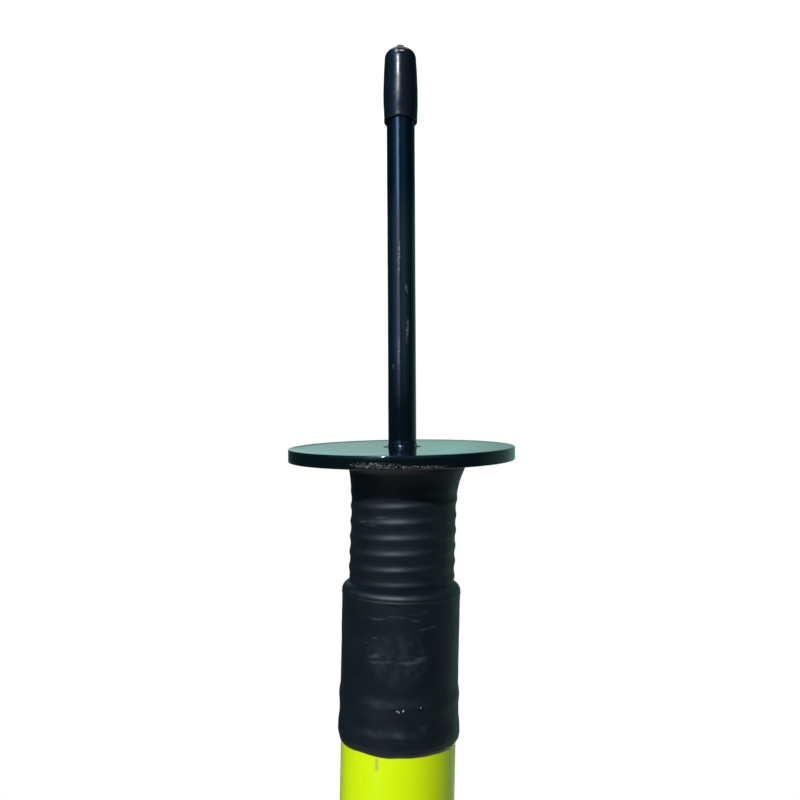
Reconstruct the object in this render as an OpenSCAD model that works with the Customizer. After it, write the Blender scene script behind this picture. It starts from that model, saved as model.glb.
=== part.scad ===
// Corner flag with a ground spike and a sprung foot.
// Z is up along the pole. The origin is the centre of the ground plate's lower face, at turf level.

/* [Spike] */
// Length of the rod below the ground plate
spike_len = 138.4; // [60:0.2:250]
// Diameter of the rod
spike_d = 9.8; // [8.6:0.1:14]
// Length of the blunt taper at the rod's lower end
spike_tip_len = 3.6; // [2:0.1:8]
// Diameter of the rod's flat lower end
spike_tip_d = 5; // [2:0.1:7]
// Loss of diameter along the part of the rod that the cap covers
spike_taper = 0.3; // [0.1:0.1:1]
// Diameter of the tenon that goes up through the plate
tenon_d = 8; // [4:0.1:8]
// Leg of the weld between rod and plate
spike_weld_leg = 1.5; // [0.8:0.1:3]
// Depth of the recess in the plate's lower face, where the rod is seated and welded
spike_seat_depth = 0.5; // [0.2:0.1:0.7]
// Width that the rod's shoulder loses to the chamfer under the weld
spike_chamfer = 0.25; // [0.1:0.05:0.25]
// Diameter of the weld over the tenon, on top of the plate
tenon_weld_d = 12; // [10:0.5:13]
// Height of the weld over the tenon
tenon_weld_h = 1.6; // [0.8:0.1:3]

/* [Spike cap] */
// Length of the cap from its mouth to the tip of its nub
cap_len = 26.8; // [16:0.2:50]
// Wall of the cap at its thickest, near the mouth
cap_wall = 1.05; // [0.6:0.05:2]
// Wall of the cap at the start of its dome
cap_tip_wall = 0.55; // [0.4:0.05:1.5]
// Height of the domed end
cap_dome_h = 4.4; // [2:0.1:8]
// Thickness of the cap beyond the rod's end
cap_end_wall = 1; // [0.6:0.1:3]
// Diameter of the small nub on the tip
cap_nub_d = 2.8; // [1:0.1:4]
// Height of the small nub on the tip
cap_nub_h = 0.4; // [0.2:0.1:1]
// Radial clearance of the cap on the rod
cap_clear = 0.05; // [0.02:0.01:0.1]

/* [Ground plate] */
// Diameter of the ground plate
plate_d = 79; // [60:0.5:160]
// Thickness of the ground plate
plate_t = 4.5; // [3:0.1:10]
// Radius of the plate's eased edges
plate_edge_r = 0.5; // [0.2:0.1:1]

/* [Spring] */
// Diameter of the spring wire
wire_d = 4.9; // [3:0.05:4.9]
// Outer diameter of the coil
spring_d = 34.6; // [30:0.1:34.6]
// Rise of the coil for each turn
spring_pitch = 5.35; // [5.35:0.01:7]
// Free height between the ground plate and the pole's flange
neck_h = 43; // [36:0.5:80]
// Gap between the coil's ends and their seats
spring_seat_gap = 0.1; // [0.05:0.01:0.3]

/* [Spring plugs] */
// Height of the lower plug, inside the coil
boss_h = 9; // [5:0.5:13]
// Height of the upper plug's stub, inside the coil
stub_h = 8.5; // [5:0.5:13]
// Radial gap between the plugs and the coil
plug_gap = 0.25; // [0.15:0.01:0.4]
// Bore of the lower plug, where the tenon is welded
boss_bore_d = 14; // [10:0.5:16]
// Outward leg of the weld round the coil's foot
foot_weld_w = 3; // [1:0.1:3]
// Height of the weld round the coil's foot
foot_weld_h = 9; // [3:0.5:11]
// Radial gap between that weld and the coil
foot_weld_gap = 0.12; // [0.05:0.01:0.3]
// Thickness of the flange that the pole stands on
flange_t = 3; // [3:0.1:8]
// Radius of the flange's lower edge
flange_edge_r = 2.4; // [1:0.1:2.5]
// Length of the spigot inside the pole
spigot_len = 58; // [50:1:120]
// Wall of the spigot
spigot_wall = 3; // [2:0.1:6]
// Radial gap between spigot and pole
spigot_gap = 0.1; // [0.05:0.01:0.3]

/* [Pole] */
// Outer diameter of the pole
pole_d = 40.2; // [38:0.1:44]
// Wall of the pole
pole_wall = 2; // [1.5:0.1:4]
// Height of the pole's upper end above the turf
pole_top = 1500; // [600:10:1800]
// Height of the rivets above the pole's lower end
rivet_up = 44.6; // [20:0.5:48]
// Diameter of the rivets' shanks
rivet_d = 4; // [3:0.1:5]
// Diameter of the rivets' countersunk heads
rivet_head_d = 7; // [6:0.1:9]
// Number of rivets round the pole
rivet_count = 2; // [2:1:4]
// Length of the top cap's stem inside the pole
top_stem = 30; // [15:1:60]
// Height of the top cap's dome
top_dome_h = 13; // [8:0.5:20]
// Height of the plain band under the top cap's dome
top_band_h = 3; // [1:0.5:6]
// Wall of the top cap
top_wall = 2.4; // [1.6:0.1:4]

/* [Sleeve] */
// Wall of the shrunk sleeve
sleeve_wall = 0.4; // [0.3:0.05:0.6]
// Length of the sleeve over the pole
sleeve_cover = 52; // [50:0.5:120]
// Radial gap under the sleeve on the pole
sleeve_gap = 0.02; // [0.01:0.01:0.05]
// Radial gap under the sleeve on the spring and its foot
sleeve_soft_gap = 0.3; // [0.2:0.05:0.5]
// Gap between the sleeve and the ground plate
sleeve_foot_gap = 0.35; // [0.3:0.05:1]
// Height of the ribs where the sleeve lies over the turns
rib_h = 0.3; // [0.1:0.05:0.4]
// Height of the flared foot of the sleeve
flare_h = 16; // [14:0.5:20]
// Swelling of the sleeve's loose upper end
sleeve_swell = 0.75; // [0.2:0.05:1.2]
// Length of the sleeve's loose upper end
sleeve_loose = 22; // [10:1:30]

/* [Flag] */
// Length of the flag's fly, from the pocket to the free edge
flag_fly = 420; // [250:10:600]
// Height of the flag along the pole
flag_hoist = 400; // [250:10:600]
// Thickness of the cloth with its hems
cloth_t = 0.8; // [0.6:0.1:1.2]
// Radial gap between the pocket and the pole
pocket_gap = 0.4; // [0.3:0.05:1]
// Gap between the pocket's closed end and the top cap
pocket_top_gap = 0.5; // [0.3:0.1:2]
// Gap left between the cloth and the pocket's wall, where the seam joins them
pocket_seam = 0.05; // [0.02:0.01:0.3]
// Number of folds along the fly
fold_count = 1.75; // [0.5:0.25:3]
// Largest turn of the cloth in a fold, in degrees
fold_turn = 38; // [10:1:50]
// How far the folds lean back towards the lower edge, in turns
fold_lean = 0.22; // [0:0.01:0.5]
// Droop of the free edge, in degrees
droop = 21; // [5:1:40]

/* [Hidden] */
$fn = 96;

steel = "#10151c";
rubber = "#1a1e26";
zinc = "#8d9196";
yellow = "#d4f400";
orange = "#f0501e";

spike_r = spike_d / 2;
cap_mouth_z = cap_len - spike_len - cap_end_wall - cap_nub_h;
cap_tip_z = -spike_len - cap_end_wall - cap_nub_h;
cap_bore_r = spike_r + cap_clear;
spike_seat_r = spike_r + spike_weld_leg + 0.2;
plate_r = plate_d / 2;

wire_r = wire_d / 2;
coil_r = spring_d / 2 - wire_r;
coil_inner_r = spring_d / 2 - wire_d;
plug_r = coil_inner_r - plug_gap;
flange_z = plate_t + neck_h;
coil_low_z = plate_t + spring_seat_gap + wire_r;
coil_high_z = flange_z - spring_seat_gap - wire_r;
coil_turns = (coil_high_z - coil_low_z) / spring_pitch;
// The turns stand out at the front, on the -Y side, at these heights above the plate
front_rib_z = 3.45;
coil_start_angle = 270 - 360 * (plate_t + front_rib_z - coil_low_z) / spring_pitch;
rings_per_turn = 24;
wire_sides = 8;

foot_weld_r = spring_d / 2 + foot_weld_gap;
pole_r = pole_d / 2;
bore_r = pole_r - pole_wall;
pole_z = flange_z + flange_t;
flange_r = pole_r + 0.2;
spigot_r = bore_r - spigot_gap;
rivet_z = pole_z + rivet_up;

sleeve_pole_r = pole_r + sleeve_gap + sleeve_wall;
sleeve_neck_r = spring_d / 2 + sleeve_soft_gap + sleeve_wall + 0.1;
sleeve_low_z = plate_t + sleeve_foot_gap;
flare_r = foot_weld_r + foot_weld_w + sleeve_soft_gap + sleeve_wall + 0.7;
sleeve_top_z = pole_z + sleeve_cover;

stem_r = bore_r - spigot_gap;
pocket_r = pole_r + pocket_gap;
pocket_low_z = pole_top + top_band_h + top_dome_h + pocket_top_gap - flag_hoist;
flag_top_z = pole_top + top_band_h;
cloth_x = pocket_r + cloth_t + pocket_seam;
cloth_cols = 40;
cloth_rows = 11;

// A quarter circle of points about (x, z), from angle a to angle b
function arc(x, z, r, a, b, n = 6) = [for (i = [0:n]) [
    x + r * cos(a + (b - a) * i / n),
    z + r * sin(a + (b - a) * i / n)
]];

// A fillet between a wall at x and a floor at z, w wide and h high, hollowed by an ellipse.
// Its corner reaches in under a chamfered wall.
module fillet_profile(x, z, w, h, under = 0) {
    polygon(concat(
        [[x - under, z]],
        [for (a = [0:15:90]) [x + w - w * sin(a), z + h - h * cos(a)]]
    ));
}

// Rod driven into the turf: a blunt tapered point, a chamfered shoulder and a tenon in the plate
module spike() {
    color(steel)
    rotate_extrude()
    polygon([
        [0, -spike_len],
        [spike_tip_d / 2, -spike_len],
        [spike_r - spike_taper / 2, spike_tip_len - spike_len],
        [spike_r, cap_mouth_z],
        [spike_r, spike_seat_depth - spike_weld_leg],
        [spike_r - spike_chamfer, spike_seat_depth],
        [tenon_d / 2, spike_seat_depth],
        [tenon_d / 2, plate_t],
        [0, plate_t]
    ]);
}

// Weld between rod and plate, in the plate's recess
module spike_weld() {
    color(steel)
    mirror([0, 0, 1])
    rotate_extrude()
    fillet_profile(spike_r, -spike_seat_depth, spike_weld_leg, spike_weld_leg, spike_chamfer);
}

// Low domed weld that closes the tenon's hole, on top of the plate
module tenon_weld() {
    color(steel)
    rotate_extrude()
    polygon(concat(
        [[0, plate_t]],
        [for (a = [0:15:90]) [tenon_weld_d / 2 * cos(a), plate_t + tenon_weld_h * sin(a)]]
    ));
}

// Push-on vinyl cap over the point: a domed end with a nub, a slow swell and a rolled mouth
module spike_cap() {
    dome_z = cap_tip_z + cap_nub_h + cap_dome_h;
    dome_r = cap_bore_r + cap_tip_wall;
    widest_r = cap_bore_r + cap_wall;
    lip_r = cap_wall * 0.42;
    wide_z = dome_z + (cap_mouth_z - dome_z) * 0.48;
    color(rubber)
    difference() {
        rotate_extrude()
        polygon(concat(
            [[0, cap_tip_z], [cap_nub_d / 2, cap_tip_z], [cap_nub_d / 2, cap_tip_z + cap_nub_h + 0.1]],
            [for (a = [20:10:90]) [
                dome_r * sin(a),
                dome_z - cap_dome_h * cos(a)
            ]],
            [
                [dome_r + (widest_r - dome_r) * 0.6, dome_z + (wide_z - dome_z) * 0.5],
                [widest_r, wide_z],
                [widest_r, wide_z + 4],
                [widest_r - cap_wall * 0.2, cap_mouth_z - 1.6]
            ],
            arc(cap_bore_r + lip_r, cap_mouth_z - lip_r, lip_r, 0, 180, 8),
            [[0, cap_mouth_z - lip_r]]
        ));
        rotate_extrude()
        polygon([
            [0, -spike_len - 0.1],
            [spike_tip_d / 2 + cap_clear, -spike_len - 0.1],
            [cap_bore_r, spike_tip_len - spike_len],
            [cap_bore_r, cap_mouth_z + 1],
            [0, cap_mouth_z + 1]
        ]);
    }
}

// Round steel plate that stops the spike at turf level
module ground_plate() {
    color(steel)
    rotate_extrude()
    polygon(concat(
        [[tenon_d / 2, spike_seat_depth], [spike_seat_r, spike_seat_depth], [spike_seat_r, 0]],
        arc(plate_r - plate_edge_r, plate_edge_r, plate_edge_r, -90, 0, 4),
        arc(plate_r - plate_edge_r, plate_t - plate_edge_r, plate_edge_r, 0, 90, 4),
        [[tenon_d / 2, plate_t]]
    ));
}

// Turned ring that locates the foot of the coil
module spring_boss() {
    chamfer = 1;
    color(steel)
    rotate_extrude()
    polygon([
        [boss_bore_d / 2, plate_t],
        [plug_r, plate_t],
        [plug_r, plate_t + boss_h - chamfer],
        [plug_r - chamfer, plate_t + boss_h],
        [boss_bore_d / 2 + chamfer, plate_t + boss_h],
        [boss_bore_d / 2, plate_t + boss_h - chamfer]
    ]);
}

// Weld that builds up round the first turns of the coil
module foot_weld() {
    color(steel)
    rotate_extrude()
    fillet_profile(foot_weld_r, plate_t, foot_weld_w, foot_weld_h);
}

function coil_point(turn, phi) =
    let (
        a = coil_start_angle + 360 * turn,
        rise = atan(spring_pitch / (2 * PI * coil_r)),
        out = wire_r * cos(phi),
        up = wire_r * sin(phi)
    ) [
        (coil_r + out) * cos(a) + up * sin(a) * sin(rise),
        (coil_r + out) * sin(a) - up * cos(a) * sin(rise),
        coil_low_z + spring_pitch * turn + up * cos(rise)
    ];

function coil_ring(turn) = [for (j = [0:wire_sides - 1]) coil_point(turn, 360 * j / wire_sides)];

// Close-wound spring that lets the pole lean and brings it back
module spring() {
    steps = round(coil_turns * rings_per_turn);
    rings = [for (i = [0:steps]) coil_ring(coil_turns * i / steps)];
    points = [for (ring = rings) for (p = ring) p];
    sides = [for (i = [0:steps - 1]) for (j = [0:wire_sides - 1])
        let (
            k = (j + 1) % wire_sides,
            a = i * wire_sides + j,
            b = i * wire_sides + k
        )
        for (face = [[a, b, b + wire_sides], [a, b + wire_sides, a + wire_sides]]) face
    ];
    last = steps * wire_sides;
    foot = [for (j = [1:wire_sides - 2]) [0, j + 1, j]];
    head = [for (j = [1:wire_sides - 2]) [last, last + j, last + j + 1]];
    least_gap = min([for (p = coil_ring(1)) for (i = [-3:3]) for (q = coil_ring(2 + i / rings_per_turn))
        norm(p - q)
    ]);
    echo(str("least gap between the spring's turns, mm: ", least_gap));
    color(zinc)
    polyhedron(points = points, faces = concat(sides, foot, head));
}

// Upper plug: a stub in the coil, a round-edged flange under the pole and a tubular spigot in it
module spring_plug() {
    spigot_bore_r = spigot_r - spigot_wall;
    chamfer = 1.5;
    color(steel)
    difference() {
        rotate_extrude()
        polygon(concat(
            [
                [0, flange_z - stub_h],
                [plug_r - chamfer, flange_z - stub_h],
                [plug_r, flange_z - stub_h + chamfer],
                [plug_r, flange_z]
            ],
            arc(flange_r - flange_edge_r, flange_z + flange_edge_r, flange_edge_r, -90, 0),
            [
                [flange_r, pole_z],
                [spigot_r, pole_z],
                [spigot_r, pole_z + spigot_len - chamfer],
                [spigot_r - chamfer, pole_z + spigot_len],
                [spigot_bore_r, pole_z + spigot_len],
                [spigot_bore_r, pole_z],
                [0, pole_z]
            ]
        ));
        rivet_holes(spigot_r);
    }
}

// Holes for the rivets, from inside the spigot out to the radius given
module rivet_holes(outer_r) {
    for (i = [0:rivet_count - 1])
        rotate([0, 0, 360 * i / rivet_count - 90])
        translate([spigot_r - spigot_wall - 1, 0, rivet_z])
        rotate([0, 90, 0])
        cylinder(d = rivet_d, h = outer_r - spigot_r + spigot_wall + 2, $fn = 32);
}

// Countersunk blind rivets through pole and spigot
module plug_rivets() {
    head_h = pole_wall * 0.7;
    head_low = pole_r - 0.25 - head_h;
    tail_r = spigot_r - spigot_wall;
    color(zinc)
    for (i = [0:rivet_count - 1])
        rotate([0, 0, 360 * i / rivet_count - 90])
        translate([0, 0, rivet_z])
        rotate([0, 90, 0])
        rotate_extrude($fn = 32)
        polygon([
            [0, tail_r - 2.5],
            [rivet_d / 2 + 0.6, tail_r - 2],
            [rivet_d / 2 + 0.6, tail_r - 0.4],
            [rivet_d / 2 - 0.05, tail_r - 0.1],
            [rivet_d / 2 - 0.05, head_low],
            [rivet_head_d / 2 - 0.05, head_low + head_h],
            [0, head_low + head_h]
        ]);
}

// Outer radius of the sleeve at height z: the flared foot, then the ribbed neck
function neck_radius(z) =
    let (
        u = min(1, (z - sleeve_low_z) / flare_h),
        fade = min(1, max(0, (u - 0.55) / 0.45)),
        top_fade = min(1, max(0, (flange_z - z) / 2.5)),
        rib = rib_h * fade * top_fade * (0.5 + 0.5 * cos(360 * (z - plate_t - front_rib_z) / spring_pitch))
    )
    sleeve_neck_r + (flare_r - sleeve_neck_r) * pow(1 - u, 2) + rib;

// Outer radius of the sleeve over the pole, where its loose end swells and draws in again
function cover_radius(z) =
    let (
        u = max(0, (z - sleeve_top_z + sleeve_loose) / sleeve_loose),
        bulge = pow(sin(180 * min(1, max(0, (u - 0.38) / 0.84))), 2)
    )
    sleeve_pole_r + sleeve_swell * (0.3 * min(1, u / 0.35) + 0.7 * bulge);

// One side of the sleeve, from the plate up to the loose end, inset from its outer side
sleeve_neck_steps = 44;
sleeve_neck_z = flange_z - sleeve_gap - sleeve_wall - 0.5;
function sleeve_side(inset) = concat(
    [for (i = [0:sleeve_neck_steps])
        let (z = sleeve_low_z + (sleeve_neck_z - sleeve_low_z) * i / sleeve_neck_steps)
        [neck_radius(z) - inset, z]
    ],
    arc(
        flange_r - flange_edge_r,
        flange_z + flange_edge_r,
        flange_edge_r + sleeve_gap + sleeve_wall - inset,
        -72,
        0,
        8
    ),
    [
        [flange_r + sleeve_gap + sleeve_wall - inset, pole_z],
        [sleeve_pole_r - inset, pole_z + 0.8]
    ],
    [for (i = [0:12])
        let (z = sleeve_top_z - sleeve_loose * (1 - i / 12))
        [cover_radius(z) - inset, z]
    ]
);

// Heat-shrunk sleeve over the spring and the foot of the pole
module shrink_sleeve() {
    outer = sleeve_side(0);
    inner = sleeve_side(sleeve_wall);
    color(rubber)
    rotate_extrude()
    polygon(concat(outer, [for (i = [len(inner) - 1:-1:0]) inner[i]]));
}

// Plastic pole
module pole_tube() {
    color(yellow)
    difference() {
        translate([0, 0, pole_z])
        cylinder(r = pole_r, h = pole_top - pole_z);
        translate([0, 0, pole_z - 1])
        cylinder(r = bore_r, h = pole_top - pole_z + 2);
        rivet_holes(pole_r + 2);
        for (i = [0:rivet_count - 1])
            rotate([0, 0, 360 * i / rivet_count - 90])
            translate([pole_r - 0.25 - pole_wall * 0.7, 0, rivet_z])
            rotate([0, 90, 0])
            cylinder(
                d1 = rivet_d,
                d2 = rivet_head_d + (rivet_head_d - rivet_d) * 0.5 / (pole_wall * 0.7),
                h = pole_wall * 0.7 + 0.5,
                $fn = 32
            );
    }
}

// Rounded end cap with a hollow stem that plugs the pole
module top_cap() {
    color(rubber)
    difference() {
        rotate_extrude()
        polygon(concat(
            [
                [0, pole_top - top_stem],
                [stem_r - 1, pole_top - top_stem],
                [stem_r, pole_top - top_stem + 2],
                [stem_r, pole_top],
                [pole_r, pole_top]
            ],
            [for (a = [0:9:90]) [
                pole_r * cos(a),
                pole_top + top_band_h + top_dome_h * sin(a)
            ]]
        ));
        translate([0, 0, pole_top - top_stem - 1])
        cylinder(r = stem_r - top_wall, h = top_stem + top_band_h + 1);
    }
}

// Pocket sewn into the flag, closed at its upper end, where it rests on the top cap
module flag_pocket() {
    color(orange)
    rotate_extrude()
    polygon(concat(
        [
            [pocket_r, pocket_low_z],
            [pocket_r + cloth_t, pocket_low_z],
            [pocket_r + cloth_t, flag_top_z]
        ],
        [for (a = [9:9:90]) [
            (pocket_r + cloth_t) * cos(a),
            flag_top_z + (top_dome_h + pocket_top_gap + cloth_t) * sin(a)
        ]],
        [for (a = [90:-9:0]) [
            pocket_r * cos(a),
            flag_top_z + (top_dome_h + pocket_top_gap) * sin(a)
        ]]
    ));
}

// Heading of the cloth, in degrees from +X, at a share s of the fly and t of the hoist
function heading(s, t) = fold_turn * min(1, 3 * s) * cos(360 * (fold_count * s - fold_lean * t) + 30);

// Points of one row of the cloth, from the pocket to the free edge, without stretch
function cloth_row(t, s, p) =
    s >= cloth_cols ? [p] :
    let (
        step = flag_fly / cloth_cols,
        share = (s + 0.5) / cloth_cols,
        down = droop * share,
        a = heading(share, t)
    )
    concat([p], cloth_row(t, s + 1, p + step * [cos(down) * cos(a), cos(down) * sin(a), -sin(down)]));

// One face of the cloth's middle surface, row by row
cloth_mid = [for (i = [0:cloth_rows])
    cloth_row(i / cloth_rows, 0, [cloth_x, 0, flag_top_z - (flag_top_z - pocket_low_z) * i / cloth_rows])
];

// Sideways normal of the cloth at a point of its grid
function cloth_side(i, j) =
    let (
        a = cloth_mid[i][max(0, j - 1)],
        b = cloth_mid[i][min(cloth_cols, j + 1)],
        c = cloth_mid[max(0, i - 1)][j],
        d = cloth_mid[min(cloth_rows, i + 1)][j],
        n = cross(b - a, d - c)
    )
    n / norm(n);

// Flag cloth in its main folds
module flag_cloth() {
    columns = cloth_cols + 1;
    count = columns * (cloth_rows + 1);
    near = [for (i = [0:cloth_rows]) for (j = [0:cloth_cols]) cloth_mid[i][j] + cloth_side(i, j) * cloth_t / 2];
    far = [for (i = [0:cloth_rows]) for (j = [0:cloth_cols]) cloth_mid[i][j] - cloth_side(i, j) * cloth_t / 2];
    quads = [for (i = [0:cloth_rows - 1]) for (j = [0:cloth_cols - 1])
        let (a = i * columns + j)
        [a, a + 1, a + columns + 1, a + columns]
    ];
    rim = concat(
        [for (j = [0:cloth_cols]) j],
        [for (i = [1:cloth_rows]) i * columns + cloth_cols],
        [for (j = [1:cloth_cols]) cloth_rows * columns + cloth_cols - j],
        [for (i = [1:cloth_rows - 1]) (cloth_rows - i) * columns]
    );
    color(orange)
    polyhedron(
        points = concat(near, far),
        faces = concat(
            [for (q = quads) for (f = [[q[0], q[1], q[2]], [q[0], q[2], q[3]]]) f],
            [for (q = quads) for (f = [[q[2], q[1], q[0]], [q[3], q[2], q[0]]]) f + [count, count, count]],
            [for (k = [0:len(rim) - 1])
                let (a = rim[k], b = rim[(k + 1) % len(rim)])
                for (f = [[b, a, a + count], [b, a + count, b + count]]) f
            ]
        )
    );
}

spike();
spike_weld();
tenon_weld();
spike_cap();
ground_plate();
spring_boss();
foot_weld();
spring();
spring_plug();
plug_rivets();
shrink_sleeve();
pole_tube();
top_cap();
flag_pocket();
flag_cloth();
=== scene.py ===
# Looks of the corner flag: camera, light, pieces and finishes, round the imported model.
import bpy
import bmesh
from math import radians, degrees, sin, cos, pi, atan2, hypot
from mathutils import Matrix, Vector, noise


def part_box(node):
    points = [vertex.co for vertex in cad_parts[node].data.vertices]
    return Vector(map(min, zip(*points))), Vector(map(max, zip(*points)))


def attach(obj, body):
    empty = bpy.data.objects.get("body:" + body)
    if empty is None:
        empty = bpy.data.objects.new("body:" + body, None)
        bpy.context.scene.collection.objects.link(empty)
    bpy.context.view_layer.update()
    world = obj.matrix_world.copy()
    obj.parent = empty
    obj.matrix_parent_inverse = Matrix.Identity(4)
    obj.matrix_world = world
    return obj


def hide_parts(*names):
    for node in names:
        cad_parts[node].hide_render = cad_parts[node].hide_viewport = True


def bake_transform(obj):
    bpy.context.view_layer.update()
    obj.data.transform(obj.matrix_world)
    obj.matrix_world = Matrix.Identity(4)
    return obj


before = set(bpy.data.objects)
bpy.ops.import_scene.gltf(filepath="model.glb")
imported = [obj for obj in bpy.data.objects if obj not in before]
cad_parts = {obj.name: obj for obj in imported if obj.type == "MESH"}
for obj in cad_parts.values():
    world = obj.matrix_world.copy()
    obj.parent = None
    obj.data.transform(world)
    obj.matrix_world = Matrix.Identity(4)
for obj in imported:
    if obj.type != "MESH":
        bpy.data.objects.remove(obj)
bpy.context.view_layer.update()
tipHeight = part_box("spike_cap")[0].z
print("frame loaded")

# camera: upside down in front of the plate, turned by pitch and roll in degrees
camera = {
    "distance": 0.356, "eyeHeight": -0.02555, "side": 0.0007, "lens": 45.8, "shift": -0.0175,
    "pitch": 0.69, "roll": -0.3,
}
cameraData = bpy.data.cameras.new("camera")
cameraData.lens = camera["lens"]
cameraData.shift_y = camera["shift"]
cameraData.clip_start = 0.01
cameraObject = bpy.data.objects.new("camera", cameraData)
cameraObject.location = (camera["side"], -camera["distance"], camera["eyeHeight"])
cameraObject.rotation_euler = (radians(-90 - camera["pitch"]), radians(camera["roll"]), radians(180))
bpy.context.scene.collection.objects.link(cameraObject)
bpy.context.scene.camera = cameraObject
print("camera placed")


# small helpers
def held(value):
    return min(1.0, max(0.0, value))


def eased(share):
    return share * share * (3 - 2 * share)


# 1 at the middle of a bump, and less with the distance from it
def falloff(distance):
    return 2.718 ** -distance


def allOf(bm):
    return list(bm.verts) + list(bm.edges) + list(bm.faces)


def put(tree, kind, inputs=None, **settings):
    made = tree.nodes.new("ShaderNode" + kind)
    for key, value in settings.items():
        setattr(made, key, value)
    for key, value in (inputs or {}).items():
        if isinstance(value, bpy.types.NodeSocket):
            tree.links.new(value, made.inputs[key])
        else:
            made.inputs[key].default_value = value
    return made


def newFinish(name):
    finish = bpy.data.materials.new(name)
    finish.use_nodes = True
    tree = finish.node_tree
    tree.nodes.clear()
    return finish, tree, put(tree, "TexCoord").outputs["Object"]


def closeFinish(tree, shader):
    put(tree, "OutputMaterial", {"Surface": shader.outputs[0]})


# closes a finish with one shader over a fine bump
def closeSurface(tree, colour, rough, relief, strength, distance=0.0001, **more):
    bump = put(tree, "Bump", {"Strength": strength, "Distance": distance, "Height": relief})
    inputs = {"Base Color": colour, "Roughness": rough, "Normal": bump.outputs[0]}
    closeFinish(tree, put(tree, "BsdfPrincipled", {**inputs, **more}))


# grey noise, from 0 to 1 between the two levels given
def grain(tree, coords, scale, low=0.4, high=0.6, detail=3.0, stretch=(1, 1, 1)):
    mapped = put(tree, "Mapping", {"Vector": coords, "Scale": stretch})
    cloud = put(tree, "TexNoise", {"Vector": mapped.outputs[0], "Scale": scale, "Detail": detail})
    ramp = put(tree, "MapRange", {"Value": cloud.outputs[0], "From Min": low, "From Max": high})
    return ramp.outputs[0]


def mixColours(tree, share, first, second):
    mixed = put(tree, "Mix", {"Factor": share}, data_type="RGBA")
    for socket, value in ((mixed.inputs[6], first), (mixed.inputs[7], second)):
        if isinstance(value, bpy.types.NodeSocket):
            tree.links.new(value, socket)
        else:
            socket.default_value = (*value, 1)
    return mixed.outputs[2]


def calc(tree, operation, *values, clamp=False):
    return put(tree, "Math", dict(enumerate(values)), operation=operation, use_clamp=clamp).outputs[0]


# a base value, plus each mask times its amount
def addUp(tree, base, *parts):
    total = base
    for mask, amount in parts:
        total = calc(tree, "ADD", calc(tree, "MULTIPLY", mask, amount), total)
    return total


def strongest(tree, masks):
    total = masks[0]
    for mask in masks[1:]:
        total = calc(tree, "MAXIMUM", total, mask)
    return total


# soft-edged spots, each given by its centre, half sizes and turn about Y, broken up by a grain
def spots(tree, coords, places, breakUp):
    found = []
    for centre, size, turn in places:
        mapped = put(tree, "Mapping", {
            "Vector": coords, "Location": centre, "Rotation": (0, radians(turn), 0), "Scale": size,
        }, vector_type="TEXTURE")
        away = put(tree, "VectorMath", {0: mapped.outputs[0]}, operation="LENGTH").outputs["Value"]
        found.append(put(tree, "MapRange", {"Value": away, "From Min": 1.0, "From Max": 0.55}).outputs[0])
    return calc(tree, "MULTIPLY", strongest(tree, found), breakUp, clamp=True)


# spins a profile of radius and height round the Z axis
def turnProfile(points, steps, loop=False):
    bm = bmesh.new()
    verts = [bm.verts.new((r, 0, z)) for r, z in points]
    line = verts + verts[:1] if loop else verts
    edges = [bm.edges.new(pair) for pair in zip(line, line[1:])]
    bmesh.ops.spin(bm, geom=verts + edges, cent=(0, 0, 0), axis=(0, 0, 1), dvec=(0, 0, 0),
                   angle=2 * pi, steps=steps, use_merge=True)
    bmesh.ops.remove_doubles(bm, verts=bm.verts, dist=1e-7)
    bmesh.ops.recalc_face_normals(bm, faces=bm.faces)
    return bm


# the line from one profile point to the next, cut in parts of about the length given
def fineLine(points, length):
    line = [points[0]]
    for (r0, z0), (r1, z1) in zip(points, points[1:]):
        parts = max(1, round(hypot(r1 - r0, z1 - z0) / length))
        line += [(r0 + (r1 - r0) * k / parts, z0 + (z1 - z0) * k / parts) for k in range(1, parts + 1)]
    return line


def arcPoints(r, z, radius, start, end, parts=6):
    turns = [radians(start + (end - start) * k / parts) for k in range(parts + 1)]
    return [(r + radius * cos(a), z + radius * sin(a)) for a in turns]


# moves each vertex of a turned piece: shape gets its radius, its turn from the front in degrees and its height
def reshape(bm, shape):
    for vert in bm.verts:
        r = hypot(vert.co.x, vert.co.y)
        if r < 1e-6:
            continue
        turn = degrees(atan2(vert.co.x, -vert.co.y))
        newR, vert.co.z = shape(r, turn, vert.co.z)
        vert.co.x *= newR / r
        vert.co.y *= newR / r


# the pole stands over a degree out of line with the foot: it bows towards +X, and is back on the axis higher up
bend = {"from": 0.014, "soft": 0.012, "slope": 0.0255, "backFrom": 0.12, "backOver": 0.6, "step": 0.0005}


def bow(z):
    above = z - bend["from"]
    back = eased(held((z - bend["backFrom"]) / bend["backOver"]))
    return bend["slope"] * max(0.0, above) ** 2 / (abs(above) + bend["soft"]) * (1 - back)


def leanPiece(bm):
    step = bend["step"]
    for vert in bm.verts:
        z = vert.co.z
        vert.co.z -= vert.co.x * (bow(z + step) - bow(z - step)) / (2 * step)
        vert.co.x += bow(z)


def makePiece(bm, name, finish, slot, *nodes, sharp=None):
    for face in bm.faces:
        face.smooth = True
    if sharp:
        for edge in bm.edges:
            if len(edge.link_faces) == 2 and edge.calc_face_angle() > radians(sharp):
                edge.smooth = False
    mesh = bpy.data.meshes.new(name)
    bm.to_mesh(mesh)
    bm.free()
    mesh.materials.append(finish)
    piece = bpy.data.objects.new(name, mesh)
    bpy.context.scene.collection.objects.link(piece)
    if nodes:
        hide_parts(*nodes)
    return piece


# noise of the size given, from -1 to 1
def lump(x, y, z, size, seed=0.0):
    return noise.noise(Vector((x / size + seed, y / size - seed, z / size + 2 * seed)))


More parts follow.
